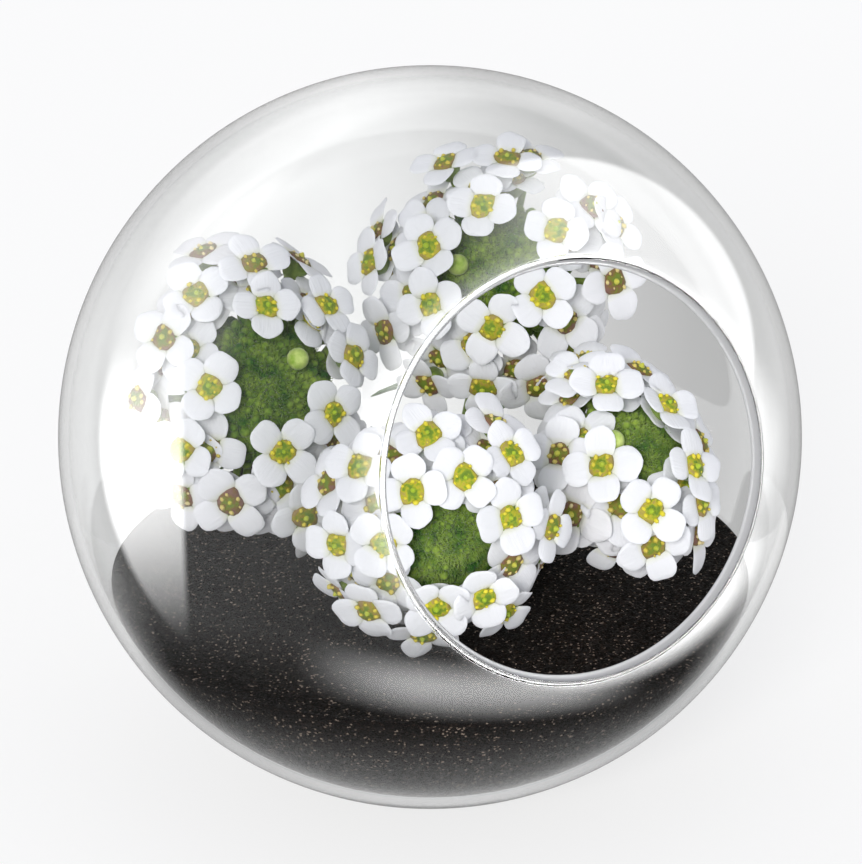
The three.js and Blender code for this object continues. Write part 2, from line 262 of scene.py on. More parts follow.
def globe_surface():
    """Outer circle, bead and inner circle turned about the mouth's axis, with the bottom lifted to
    the flat outside and to the top of the thicker floor inside. Also gives which rows of faces are
    the bead's."""
    middle, inside = GLOBE_RADIUS - WALL / 2, GLOBE_RADIUS - WALL
    lip = middle * np.array([math.sin(MOUTH_HALF_ANGLE), math.cos(MOUTH_HALF_ANGLE)])

    def edge(radius):
        """The angle where a circle about the globe's centre meets the bead."""
        cosine = (middle**2 + radius**2 - LIP_RADIUS**2) / (2 * middle * radius)
        return MOUTH_HALF_ANGLE + math.acos(cosine)

    outer = arc(GLOBE_RADIUS, np.pi, edge(GLOBE_RADIUS), GLOBE_ROWS)
    inner = arc(inside, edge(inside), np.pi, GLOBE_ROWS)
    start, end = [math.atan2(*(point - lip)) for point in (outer[-1], inner[0])]
    bead = arc(LIP_RADIUS, start, end, BEAD_ROWS, lip)[1:-1]
    outer[0, 0] = inner[-1, 0] = NEAR_AXIS
    profile = np.concatenate([outer, bead, inner])
    points = lathe(profile, GLOBE_TURNS, turned_to(MOUTH_AXIS), CENTRE)
    rows_outside = len(outer) + len(bead) // 2
    points[:rows_outside, :, 2] = lifted(points[:rows_outside, :, 2], 0, EDGE_ROUNDING)
    points[rows_outside:, :, 2] = lifted(points[rows_outside:, :, 2], FLOOR, EDGE_ROUNDING)
    points[:, :, 2] -= points[:, :, 2].min()
    row = np.arange(len(points) - 1)
    return points, (row >= len(outer) - 1) & (row < len(outer) + len(bead))


def blown_glass(name, colour, transmission, alpha):
    """Fire-polished soda-lime glass, so it is quite smooth. It is clear, or, where its
    transmission is low, milky white as a painted glow, and half see-through where alpha is 0.5.
    Scattered light passes it freely, and the lamp loses a little at each of its surfaces, as thin
    glass does."""
    material, tree, output = new_material(name)
    glass = add_node(tree, "ShaderNodeBsdfPrincipled", {
        "Base Color": colour, "Roughness": 0.0, "IOR": GLASS_INDEX,
        "Transmission Weight": transmission, "Alpha": alpha})
    clear = add_node(tree, "ShaderNodeBsdfTransparent", {"Color": WHITE})
    dimmed = add_node(tree, "ShaderNodeBsdfTransparent", {"Color": (*[SHADE_OF_GLASS] * 3, 1.0)})
    path = add_node(tree, "ShaderNodeLightPath")
    scattered = mixed_shaders(tree, path.outputs["Is Diffuse Ray"], glass, clear)
    lit = mixed_shaders(tree, path.outputs["Is Shadow Ray"], scattered, dimmed)
    tree.links.new(lit.outputs[0], output.inputs["Surface"])
    return material


def add_globe():
    """The bead is painted milky white, a painted glow for the light that the wall leads to it and
    lets out there.
    """
    surface, of_bead = globe_surface()
    points, faces = capped(surface)
    kinds = np.zeros(len(faces), dtype=int)
    kinds[:len(of_bead) * surface.shape[1]] = np.repeat(of_bead, surface.shape[1])
    add_piece("clear_globe", points, faces, [
        blown_glass("blown_soda_lime_glass", GLASS_COLOUR, 1.0, 1.0),
        blown_glass("lip_painted_glow", linear(LIP_PAINTED_GLOW_COLOUR), LIP_CLEARNESS, LIP_ALPHA)],
        ["glass_globe"], kinds)


add_globe()

# ---------------------------------------------------------------------------------------------
# Grit
# Dry black grit, poured in until it fills the lower third, and settled to a low mound. Its grains
# are a fraction of a millimetre across, and a few are pale.

GRIT_DROP = 14.2  # from the globe's centre down to the grit's edge
GRIT_LEVEL = CENTRE[2] - GRIT_DROP
GRIT_CROWN = 1.1
GRIT_GAP = 0.08  # to the glass
GRIT_SEED = 4
GRIT_TURNS = 420
MOUND_ROWS, SIDE_ROWS, BOTTOM_ROWS = 110, 40, 6
GRAIN = 0.17
GRAIN_LIFT = 0.1
LIFT_FADE = 12  # the lift fades out over the last twelfth of the way to the glass
GRAIN_SHADES = [(0.0, "#040302"), (0.6, "#0b0806"), (0.84, "#19130f"), (0.955, "#2d2520"),
                (0.985, "#938b82")]
DRIFT_SIZE = 9.0
DRIFT_TINTS = [(0.35, "#d8cec8"), (0.65, "#fff1e8")]


def grit_surface():
    """A mound, level + crown times cos^2, out to the glass, and from there down the glass to the
    floor and in to the middle. The mound's points are lifted by random amounts, as grains lie."""
    rng = np.random.default_rng(GRIT_SEED)
    radius = GLOBE_RADIUS - WALL - GRIT_GAP
    edge = math.sqrt(radius**2 - GRIT_DROP**2)
    share = np.linspace(0.002, 1, MOUND_ROWS)
    height = GRIT_LEVEL + GRIT_CROWN * np.cos(share * np.pi / 2) ** 2
    mound = np.stack([edge * share, height], axis=1)
    top = math.acos(GRIT_DROP / radius)
    bottom = math.acos((CENTRE[2] - FLOOR - 2 * GRIT_GAP) / radius)
    side = arc(radius, np.pi - top, np.pi - bottom, SIDE_ROWS, (0, CENTRE[2]))[1:]
    inwards = np.linspace(side[-1, 0], 0.05, BOTTOM_ROWS)[1:]
    below = np.stack([inwards, np.full_like(inwards, side[-1, 1])], axis=1)
    points = lathe(np.concatenate([mound, side, below]), GRIT_TURNS, np.eye(3), np.zeros(3))
    rough = GRAIN_LIFT * (rng.random((len(mound), GRIT_TURNS)) - 0.5)
    points[:len(mound), :, 2] += rough * np.minimum(1, LIFT_FADE * (1 - share))[:, None]
    return points


def object_place(tree):
    return add_node(tree, "ShaderNodeTexCoord").outputs["Object"]


def noise(tree, place, size, **inputs):
    """Soft random values, in patches of about this size in millimetres."""
    return add_node(tree, "ShaderNodeTexNoise", {
        "Vector": place, "Scale": 1 / (size * MM), **inputs}).outputs["Fac"]


def ramp(tree, value, stops):
    return add_node(tree, "ShaderNodeValToRGB", {"Fac": value}, stops=stops).outputs["Color"]


def mapped(tree, value, low, high, to_low=0.0, to_high=1.0, **settings):
    """The value, with the range from low to high carried over to that from to_low to to_high, and
    held at its ends."""
    return add_node(tree, "ShaderNodeMapRange", {
        "Value": value, "From Min": low, "From Max": high, "To Min": to_low, "To Max": to_high},
        **settings).outputs[0]


def mixed_colours(tree, share, first, second, blend="MIX"):
    return add_node(tree, "ShaderNodeMix", {"Factor": share, 6: first, 7: second},
                    data_type="RGBA", blend_type=blend).outputs[2]


def relief(tree, height, strength, depth, **settings):
    """The normal of a surface that height raises, by depth in millimetres."""
    return add_node(tree, "ShaderNodeBump", {
        "Height": height, "Strength": strength, "Distance": depth * MM}, **settings).outputs[0]


def give_surface(tree, output, inputs):
    surface = add_node(tree, "ShaderNodeBsdfPrincipled", inputs)
    tree.links.new(surface.outputs[0], output.inputs["Surface"])


def black_grit():
    """Crushed black basalt: matt, nearly black grains with a few pale ones that glint, each grain
    a cell of its own in colour and in relief."""
    material, tree, output = new_material("crushed_black_basalt")
    place = object_place(tree)
    cells = add_node(tree, "ShaderNodeTexVoronoi", {
        "Vector": place, "Scale": 1 / (GRAIN * MM), "Randomness": 1.0}, feature="F1")
    parts = add_node(tree, "ShaderNodeSeparateColor", {"Color": cells.outputs["Color"]})
    shade = ramp(tree, parts.outputs["Red"], GRAIN_SHADES)
    tint = ramp(tree, noise(tree, place, DRIFT_SIZE, Detail=2.0), DRIFT_TINTS)
    give_surface(tree, output, {
        "Base Color": mixed_colours(tree, 1.0, shade, tint, "MULTIPLY"),
        "Roughness": mapped(tree, parts.outputs["Green"], 0.0, 1.0, 0.45, 0.95),
        "Normal": relief(tree, cells.outputs["Distance"], 0.7, 0.25 * GRAIN, invert=True),
        "IOR": 1.5, "Specular IOR Level": 0.1})
    return material


def add_grit():
    points, faces = capped(grit_surface())
    add_piece("black_grit", points, faces[:, ::-1], [black_grit()], ["grit"])


add_grit()

# ---------------------------------------------------------------------------------------------
# Flower heads
# Each head is a dome of florets round a middle of buds, on a stem of its own. Here are only the
# places that the florets stand in, by the same rule as the solids, with more florets under them.

# crown is the middle of the dome's foot, from the globe's centre, and axis points out of it. root
# is where the stem leaves the grit. half_axes are the dome's, across, up and along its axis. Each
# ring is (degrees from the axis, florets, turn), each leaf (place up the stem, degrees round it,
# length). bud_spread is the radius of the green middle, and each bright bud in it is (distance
# from the axis, degrees round it).
HEADS = {
    "left": dict(
        seed=71, crown=(-16.7, 2.4, 3.3), axis=(0.255, -0.818, 0.515), half_axes=(11.3, 14.7, 8.2),
        rings=((31, 4, 0.82), (55, 9, 0.0), (83, 6, 0.72)), root=(-7, 4),
        leaves=((0.35, 100, 10), (0.5, 215, 9), (0.62, 330, 8)),
        bud_spread=7.0, bright_buds=((3.9, 33),)),
    "back": dict(
        seed=386, crown=(6.6, 14.5, 10.3), axis=(-0.128, -0.864, 0.486),
        half_axes=(12.9, 12.5, 9.8), rings=((31, 6, 0.58), (66, 8, 0.76), (80, 5, 0.25)),
        root=(2, 8), leaves=((0.3, 60, 10), (0.42, 185, 10), (0.56, 310, 9)),
        bud_spread=6.8, bright_buds=((3.2, 175), (4.2, 300))),
    "front": dict(
        seed=369, crown=(0.6, -17.0, -1.0), axis=(0.144, -0.979, 0.146),
        half_axes=(10.9, 10.8, 8.2), rings=((32, 6, 0.12), (66, 8, 0.0), (92, 4, 0.55)),
        root=(0, -4), leaves=((0.4, 90, 8),), bud_spread=5.9, bright_buds=()),
    "right": dict(
        seed=238, crown=(17.8, -3.3, -1.7), axis=(0.328, -0.634, 0.7), half_axes=(7.8, 10.9, 8.2),
        rings=((36, 5, 0.5), (62, 6, 0.1), (80, 3, 0.52)), root=(9, 3),
        leaves=((0.35, 80, 9), (0.5, 200, 8)), bud_spread=5.6, bright_buds=((3.0, 165),)),
}
RING_ITEMS = 17  # between the first items of two rings
TILT_SCATTER = 10  # degrees
TURN_SCATTER = 0.5  # of the step between florets
SWELL_SCATTER = 0.05
TWIST_SCATTER = 24  # degrees
LOWER_RINGS = ((50, 6, 0.5), (73, 9, 0.2), (98, 7, 0.6))
LOWER_DEPTH = 0.8  # of the half axes
FACING = 0.4  # how far a floret turns from the dome's normal towards its axis
RING_AGES = (0.15, 0.55, 0.85, 0.5, 0.75, 0.9)
AGE_SCATTER = (-0.3, 0.2)
RACHIS_FOOT = (2.6, 0.4, -2.2)  # where each ring's stalks leave the stem, along the axis


def draw(item, use):
    """A repeatable number from 0 to 1: the fraction of
    43758.5453 sin(12.9898 item + 78.233 use)."""
    wave = math.sin(item * 12.9898 + use * 78.233) * 43758.5453
    return wave - math.floor(wave)


def unit(vector):
    return vector / np.linalg.norm(vector)


def florets_of(head):
    """Each floret's middle, its three axes as columns (a petal's direction, the next one's, and
    out of the floret), the foot of its stalk, and its ring."""
    crown, dome = CENTRE + head["crown"], turned_to(head["axis"])
    half_axes = np.array(head["half_axes"])
    middles, columns, feet, rings = [], [], [], []
    for ring, (tilt, count, turn) in enumerate((*head["rings"], *LOWER_RINGS)):
        depth = 1.0 if ring < len(head["rings"]) else LOWER_DEPTH
        for i in range(count):
            item = head["seed"] + RING_ITEMS * ring + i
            polar = math.radians(tilt + TILT_SCATTER * (draw(item, 1) - 0.5))
            azimuth = 2 * math.pi * (i + turn + TURN_SCATTER * (draw(item, 2) - 0.5)) / count
            swell = depth + SWELL_SCATTER * (draw(item, 3) - 0.5)
            aside = math.sin(polar)
            place = np.array([math.cos(azimuth) * aside, math.sin(azimuth) * aside,
                              math.cos(polar)])
            middle = crown + dome @ (place * swell * half_axes)
            normal = unit(unit(dome @ (place / half_axes)) + FACING * dome[:, 2])
            towards = dome[:, 0]
            if middles:
                towards = min(middles, key=lambda other: np.linalg.norm(other - middle)) - middle
            first = unit(towards - normal * (towards @ normal))
            second = np.cross(normal, first)
            twist = math.radians(TWIST_SCATTER) * (draw(item, 4) - 0.5)
            first, second = (first * math.cos(twist) + second * math.sin(twist),
                             second * math.cos(twist) - first * math.sin(twist))
            middles.append(middle)
            columns.append(np.stack([first, second, normal], axis=1))
            feet.append(crown + dome[:, 2] * RACHIS_FOOT[ring % 3])
            rings.append(ring)
    return np.array(middles), np.array(columns), np.array(feet), np.array(rings)


def ages_of(rings, seed):
    """How old each floret is, from 0 in the newest ring to 1 in the outermost."""
    rng = np.random.default_rng(seed)
    return np.clip(np.array(RING_AGES)[rings] + rng.uniform(*AGE_SCATTER, len(rings)), 0, 1)


FLORETS = {name: florets_of(head) for name, head in HEADS.items()}
AGES = {name: ages_of(FLORETS[name][3], head["seed"]) for name, head in HEADS.items()}

# ---------------------------------------------------------------------------------------------
# Petals
# Four round white petals to a floret, each a few cells thick. They rise out of the hollow round
# the eye, where they touch one another, and spread flat, and old ones bend back.

PETAL_REACH = (3.5, 4.05)  # from the floret's middle to a petal's tip, when new and when old
PETAL_START = 0.7
PETAL_WIDTH = 3.35
PETAL_THICKNESS = 0.12
PETAL_LAP = 0.06  # how far every other petal lies higher, and the rest lower
EDGE_WAVES = (0.04, 0.03)  # of a petal's width and of its reach
ANY_PHASE = (0, 6.3)  # about a full turn
BLADE_LINES = 8
VEIN = 0.3
PATTERN_STEP = 7.3  # between two petals' places in the pattern
CLAW_SHADES = [(0.0, "#c3cb98"), (0.1, "#e2e5d6"), (0.3, "#eaecf2")]


def inner_points(rows, columns):
    """Which points of a grid lie off its rim."""
    row, column = np.divmod(np.arange(rows * columns), columns)
    return (row > 0) & (row < rows - 1) & (column > 0) & (column < columns - 1)


def blade_faces(rows, columns):
    """Quads of a thin closed blade, whose upper and lower grids share the points of the rim. Also
    gives which points of the two grids are in use, and which of these are the rim."""
    upper = grid_faces(rows, columns, closed=False)
    own, inner = np.arange(rows * columns), inner_points(rows, columns)
    lower = np.where(inner, own + rows * columns, own)[upper]
    used, faces = np.unique(np.concatenate([upper[:, ::-1], lower]), return_inverse=True)
    return used, faces.reshape(-1, 4), ~np.concatenate([inner, inner])[used]


def petal_shapes(ages, seed):
    """Blades on a grid (u, v) bent to a petal's outline, nearly a disc: x = u sqrt(1 - k v^2) with
    k = 0.5 towards the tip and 0.3 at the base, and y = v sqrt(1 - u^2 / 2). With t the share of
    the way out, the height rises from the hollow as 1 - exp(-3.2 t). The blade is domed across,
    twisted, creased and bent back with age."""
    rng = np.random.default_rng(seed)
    line = np.sin(np.linspace(-1, 1, BLADE_LINES) * np.pi / 2)
    u, v = [grid.ravel()[None, :] for grid in np.meshgrid(line, line, indexing="ij")]
    along = u * np.sqrt(1 - np.where(u > 0, 0.5, 0.3) * v**2)
    across = v * np.sqrt(1 - 0.5 * u**2)
    old = np.repeat(ages, 4)[:, None]

    def vary(low, high):
        return rng.uniform(low, high, old.shape)

    size = np.repeat(rng.uniform(0.92, 1.04, len(ages)), 4)[:, None]
    reach = (PETAL_REACH[0] + (PETAL_REACH[1] - PETAL_REACH[0]) * old) * size * vary(0.93, 1.03)
    share = (along + 1) / 2
    x = PETAL_START + (reach - PETAL_START) * share
    width = PETAL_WIDTH / 2 * size * vary(0.88, 1.06)
    y = width * across * (1 + EDGE_WAVES[0] * np.sin(5 * share + vary(*ANY_PHASE)))
    x = x * (1 + EDGE_WAVES[1] * np.sin(4 * across + vary(*ANY_PHASE)) * share)
    swerve = vary(-0.12, 0.12)
    x, y = x - swerve * y, y + swerve * x * share
    rise = (0.5 + 0.2 * old) * (1 - np.exp(-3.2 * share)) - 0.2 - 0.1 * old
    bend = vary(-0.1, 0.5) - (0.2 + 0.9 * old) * vary(0.3, 1.0)
    dome = vary(-0.1, 0.4) * across**2 * (0.25 + 0.75 * share)
    crease = 0.05 * np.exp(-((across / 0.16) ** 2)) * np.clip(1.1 - share, 0, 1)
    ripple = 0.05 * np.sin(4 * across + vary(*ANY_PHASE)) * share
    twist = vary(-0.2, 0.2) * across * share
    z = rise + bend * share**2 - dome - crease + ripple + twist
    return np.stack([x, y, z], axis=-1), share[0], across[0]


def thickened(shapes, thickness, rows, columns):
    """The upper and lower grids of blades: each point moved half the thickness along z, apart from
    the rim's."""
    lift = np.where(inner_points(rows, columns), thickness / 2, 0)[None, :, None] * (0, 0, 1)
    return np.concatenate([shapes + lift, shapes - lift], axis=1)


def quarter_turns(shapes):
    """Turns each floret's four petals to the four sides, with every other one lying lower."""
    florets = len(shapes) // 4
    turn = np.tile(np.arange(4) * np.pi / 2, florets)[:, None]
    lap = PETAL_LAP * np.tile([1, -1, 1, -1], florets)[:, None]
    x, y, z = np.moveaxis(shapes, -1, 0)
    return np.stack([x * np.cos(turn) - y * np.sin(turn), x * np.sin(turn) + y * np.cos(turn),
                     z + lap], axis=-1)


def stamped(shapes, columns, middles):
    """Puts shapes, one array of points for each place, into their frames."""
    return np.einsum("nij,npj->npi", columns, shapes) + middles[:, None, :]


def copied_faces(faces, points_each, count):
    """The faces of one shape, repeated for each copy of it."""
    return (faces[None] + (np.arange(count) * points_each)[:, None, None]).reshape(-1, 4)


def attribute(tree, name):
    return add_node(tree, "ShaderNodeAttribute", attribute_name=name).outputs["Fac"]


def uv_pattern(tree):
    """The place in the pattern, and its parts."""
    pattern = add_node(tree, "ShaderNodeUVMap", uv_map="pattern").outputs["UV"]
    return pattern, add_node(tree, "ShaderNodeSeparateXYZ", {"Vector": pattern}).outputs


def lit_through(weight, spread, depth):
    """Inputs of tissue that light comes through: red, green and blue go their shares of depth."""
    return {"Subsurface Weight": weight, "Subsurface Radius": spread,
            "Subsurface Scale": depth * MM}


def petal_tissue():
    """Petal tissue: white from the air between its cells, waxy but matt, and thin enough for light
    to come through. It is green-white at the claw, with faint veins, and yellows a little with
    age."""
    material, tree, output = new_material("white_petal_tissue")
    pattern, parts = uv_pattern(tree)
    claw = ramp(tree, parts["X"], CLAW_SHADES)
    aged = mapped(tree, attribute(tree, "age"), 0.5, 1.0)
    stretched = add_node(tree, "ShaderNodeMapping", {
        "Vector": pattern, "Scale": (1.0, PETAL_WIDTH / (2 * VEIN), 1.0)})
    veins = add_node(tree, "ShaderNodeTexNoise", {
        "Vector": stretched.outputs[0], "Scale": 1.0, "Detail": 2.0})
    give_surface(tree, output, {
        "Base Color": mixed_colours(tree, aged, claw, linear("#f9f7f5"), "MULTIPLY"),
        "Roughness": 0.6, "Normal": relief(tree, veins.outputs["Fac"], 0.5, 0.1), "IOR": 1.4,
        **lit_through(0.5, (1.0, 1.0, 1.0), 0.6), "Sheen Weight": 0.1, "Sheen Roughness": 0.5})
    return material


def add_petals(name, tissue):
    middles, columns, _, _ = FLORETS[name]
    count = 4 * len(middles)
    shapes, share, across = petal_shapes(AGES[name], HEADS[name]["seed"])
    blades = thickened(quarter_turns(shapes), PETAL_THICKNESS, BLADE_LINES, BLADE_LINES)
    used, faces, rim = blade_faces(BLADE_LINES, BLADE_LINES)
    points = stamped(blades[:, used], np.repeat(columns, 4, axis=0), np.repeat(middles, 4, axis=0))
    each = len(used)
    shift = np.repeat(PATTERN_STEP * np.arange(count), each)
    along, aside = [np.tile(np.tile(part, 2)[used], count) for part in (share, across)]
    add_piece(f"{name}_white_petals", points, copied_faces(faces, each, count), [tissue],
              [f"{name}_petals"], values={"age": np.repeat(np.repeat(AGES[name], 4), each)},
              uv=np.stack([along, aside + shift], axis=1), rim=np.tile(rim, count))


PETAL_TISSUE = petal_tissue()
for head_name in HEADS:
    add_petals(head_name, PETAL_TISSUE)

# ---------------------------------------------------------------------------------------------
# Eyes
# The middle of a floret: a four-sided green pad in the hollow between the petals, the pistil on
# it, and six anthers round the pistil. In an old floret the pad is olive, with a brown rim.

EYE_RADIUS = 1.26  # to the middle of a side
EYE_SQUARENESS = 2.3
EYE_RISE = 0.42
ANTHER_RADIUS = 0.25
ANTHER_CIRCLE = 0.98
ANTHER_COUNT = 6
PISTIL_RADIUS = 0.33
PISTIL_FOOT = 0.16
EYE_SINK = 0.1
PAD_BULGES = ((2, 0.1), (3, 0.08), (5, 0.06))
BALL_ENDS = (-0.33, 0.4)  # half turns up to a ball's lowest and highest rings
NEW_PAD = [(0.1, "#68842a"), (0.4, "#8b9d2b"), (0.7, "#b3ab2b"), (1.0, "#a2934c")]
OLD_PAD = [(0.1, "#6c8030"), (0.45, "#76742e"), (0.75, "#7a6038"), (1.0, "#7c5d52")]
PISTIL_SHADES = [(0.2, "#9cb52f"), (0.7, "#c2bf52")]
POLLEN_SHADES = [(0.2, "#d9cd38"), (0.5, "#cdbb4c"), (0.85, "#d8c996")]


def rounded(columns, rows, radii, squareness=2.0):
    """A ball stretched to three radii, its lowest part cut flat. squareness above 2 makes its
    outline squarer: r = (|cos|^s + |sin|^s)^(-1/s)."""
    angle = np.linspace(0, 2 * np.pi, columns, endpoint=False)
    power = np.abs(np.cos(angle)) ** squareness + np.abs(np.sin(angle)) ** squareness
    rise = np.linspace(*BALL_ENDS, rows)[:, None] * np.pi
    ring = np.cos(rise) * power ** (-1 / squareness)
    points = np.stack([radii[0] * ring * np.cos(angle), radii[1] * ring * np.sin(angle),
                       radii[2] * np.sin(rise) * np.ones_like(angle)], axis=-1)
    tips = np.array([[0, 0, points[0, 0, 2]], [0, 0, radii[2]]])
    return capped(points, tips)


def eye_shapes(count, seed):
    """Pad, pistil and anthers in the frames of count florets, as arrays of points. The pad's
    outline bulges by 1 + 0.1 cos(2a - p) + 0.08 cos(3a - q) + 0.06 cos(5a - r), and the anthers
    stand unevenly."""
    rng = np.random.default_rng(seed)

    def vary(low, high, *shape):
        return rng.uniform(low, high, (count, *shape))

    pad, pad_faces = rounded(16, 5, (EYE_RADIUS, EYE_RADIUS, EYE_RISE), EYE_SQUARENESS)
    around = np.arctan2(pad[:, 1], pad[:, 0])[None]
    bulge = 1 + sum(depth * np.cos(waves * around - vary(*ANY_PHASE, 1))
                    for waves, depth in PAD_BULGES)
    outline = np.stack([bulge, bulge, np.ones_like(bulge)], axis=-1)
    pistil, pistil_faces = rounded(8, 4, (PISTIL_RADIUS, PISTIL_RADIUS, 0.6))
    anther, anther_faces = rounded(6, 3, (ANTHER_RADIUS, ANTHER_RADIUS, ANTHER_RADIUS))
    shapes = [pad[None] * outline * vary(0.88, 1.06, 1, 1)]
    size = vary(0.8, 1.1, 1, 1)
    foot = np.append(vary(-0.12, 0.12, 2), np.full((count, 1), PISTIL_FOOT), axis=1)
    shapes.append(pistil[None] * size + foot[:, None])
    for i in range(ANTHER_COUNT):
        angle = (i + 0.5 + vary(-0.28, 0.28)) * 2 * np.pi / ANTHER_COUNT
        circle = ANTHER_CIRCLE * vary(0.72, 1.12)
        place = round_axis(circle, angle, vary(0.2, 0.36))
        shapes.append(anther[None] * vary(0.55, 1.2, 1, 1) * (1.15, 0.9, 0.9) + place[:, None])
    _, faces, numbers = joined([(pad, pad_faces), (pistil, pistil_faces)]
                               + [(anther, anther_faces)] * ANTHER_COUNT)
    return np.concatenate(shapes, axis=1), faces, numbers


def math_node(tree, operation, *values):
    return add_node(tree, "ShaderNodeMath", dict(enumerate(values)),
                    operation=operation).outputs[0]


def nectary_tissue():
    """The pad: moist green tissue, yellow-green when new. When old it is olive, with a rim that
    goes purple-brown in patches."""
    material, tree, output = new_material("nectary_tissue")
    mottle = noise(tree, object_place(tree), 0.5, Detail=4.0)
    shift = mapped(tree, mottle, 0.35, 0.65, -0.5, 0.4)
    ringed = math_node(tree, "ADD", attribute(tree, "out"), shift)
    old = mapped(tree, attribute(tree, "age"), 0.25, 0.6)
    give_surface(tree, output, {
        "Base Color": mixed_colours(tree, old, ramp(tree, ringed, NEW_PAD),
                                    ramp(tree, ringed, OLD_PAD)),
        "Roughness": 0.5, "Normal": relief(tree, mottle, 0.6, 0.15), "IOR": 1.4,
        **lit_through(0.2, (1.0, 0.9, 0.4), 0.5)})
    return material


def pistil_tissue():
    """The pistil: a smooth green knob that stays fresh, and looks bright in an old floret."""
    material, tree, output = new_material("pistil_tissue")
    give_surface(tree, output, {
        "Base Color": ramp(tree, attribute(tree, "age"), PISTIL_SHADES), "Roughness": 0.4,
        "IOR": 1.4, **lit_through(0.2, (0.9, 1.0, 0.4), 0.3)})
    return material


def pollen():
    """Anthers packed with pollen: dusty bright yellow, fading to cream with age."""
    material, tree, output = new_material("yellow_pollen")
    dust = noise(tree, object_place(tree), 0.12)
    give_surface(tree, output, {
        "Base Color": ramp(tree, attribute(tree, "age"), POLLEN_SHADES), "Roughness": 0.6,
        "Normal": relief(tree, dust, 0.5, 0.05)})
    return material


def add_eyes(name, materials):
    middles, columns, _, _ = FLORETS[name]
    count = len(middles)
    shapes, faces, parts = eye_shapes(count, HEADS[name]["seed"] + 1)
    each = shapes.shape[1]
    points = stamped(shapes - (0, 0, EYE_SINK), columns, middles)
    far = np.linalg.norm(shapes[..., :2], axis=-1) / EYE_RADIUS
    add_piece(f"{name}_eyes", points, copied_faces(faces, each, count), materials,
              kinds=np.tile(np.minimum(parts, 2), count),
              values={"age": np.repeat(AGES[name], each), "out": far})


EYE_MATERIALS = [nectary_tissue(), pistil_tissue(), pollen()]
for head_name in HEADS:
    add_eyes(head_name, EYE_MATERIALS)

# ---------------------------------------------------------------------------------------------
# Stalks and calyxes
# Under each floret, four hairy sepals make a green cup, on a thin stalk that comes from the stem.

CALYX_LENGTH = 2.3
CALYX_RADIUS = 1.3
STALK_RADIUS = 0.38
STALK_TAPER = (1.25, 0.95)  # of that radius, at its foot and its top
STALK_POINTS = 6
STALK_LAP = 0.1  # how far a stalk goes into its calyx
STALK_BOW = 0.12  # of its length


def leaf_green(name, dark, light, patch, roughness):
    """Green plant tissue under short pale hairs, which give it a soft sheen and hide its gloss.
    patch is the size of its light and dark patches."""
    material, tree, output = new_material(name)
    place = object_place(tree)
    patches = noise(tree, place, patch, Detail=4.0, Roughness=0.6)
    hairs = noise(tree, place, 0.15, Detail=2.0)
    give_surface(tree, output, {
        "Base Color": ramp(tree, patches, [(0.34, dark), (0.66, light)]), "Roughness": roughness,
        "Normal": relief(tree, hairs, 0.5, 0.08), "IOR": 1.4, "Sheen Weight": 0.25,
        "Sheen Roughness": 0.4, **lit_through(0.1, (0.6, 1.0, 0.2), 0.5)})
    return material


def calyx_shape():
    """A profile from the stalk out to the rim and in again, turned round, with four lobes:
    r (1 - 0.16 cos 4a) and tips that rise between the petals."""
    profile = np.array([[0.34, -CALYX_LENGTH], [0.8, -1.9], [1.15, -1.25], [CALYX_RADIUS, -0.7],
                        [1.2, -0.35], [0.6, -0.4]])
    angle = np.linspace(0, 2 * np.pi, 16, endpoint=False)
    lobe = np.cos(4 * angle)
    open_share = np.array([0, 0.3, 0.6, 0.9, 1.0, 0.2])[:, None]
    radius = profile[:, :1] * (1 - 0.16 * lobe * open_share)
    height = profile[:, 1:] - 0.3 * lobe * open_share
    return capped(round_axis(radius, angle, height))


def unit_rows(vectors):
    return vectors / np.linalg.norm(vectors, axis=1)[:, None]


def tube(path, radii, sides):
    """A round section carried along a path. It is kept square to the path by a frame that starts
    from one side direction and loses its part along the path at each step."""
    ahead = unit_rows(np.gradient(path, axis=0))
    side = np.empty_like(path)
    guess = np.cross(ahead[0], [0.3, 0.2, 1.0])
    for i, direction in enumerate(ahead):
        guess = unit(guess - direction * (guess @ direction))
        side[i] = guess
    other = np.cross(ahead, side)
    angle = np.linspace(0, 2 * np.pi, sides, endpoint=False)[:, None]
    ring = side[:, None] * np.cos(angle) + other[:, None] * np.sin(angle)
    return capped(path[:, None] + ring * np.asarray(radii)[:, None, None])


def stalks_of(name):
    """Stalks as tubes on a quadratic curve that leaves the stem outwards and ends straight under
    the floret."""
    middles, columns, feet, _ = FLORETS[name]
    share = np.linspace(0, 1, STALK_POINTS)[:, None]
    radii = np.linspace(*STALK_TAPER, STALK_POINTS) * STALK_RADIUS
    made = []
    for middle, frame_columns, foot in zip(middles, columns, feet):
        end = middle - frame_columns[:, 2] * (CALYX_LENGTH - STALK_LAP)
        bend = (foot + end) / 2 - frame_columns[:, 2] * STALK_BOW * np.linalg.norm(end - foot)
        path = foot * (1 - share) ** 2 + bend * 2 * share * (1 - share) + end * share**2
        made.append(tube(path, radii, 6))
    return made


def add_stalks(name, tissue):
    middles, columns, _, _ = FLORETS[name]
    shape, faces = calyx_shape()
    cups = stamped(np.repeat(shape[None], len(middles), axis=0), columns, middles)
    points, faces, _ = joined([(cup, faces) for cup in cups] + stalks_of(name))
    add_piece(f"{name}_stalks_and_sepals", points, faces, [tissue])


SEPAL_TISSUE = leaf_green("hairy_sepal_tissue", "#5d7632", "#8b9f4e", 0.9, 0.6)
for head_name in HEADS:
    add_stalks(head_name, SEPAL_TISSUE)

# ---------------------------------------------------------------------------------------------
# Buds
# The middle of a head: egg-shaped green buds packed on a spiral, smallest at the tip, over a
# green cone. One or two of the oldest stand out on stalks, round and bright.

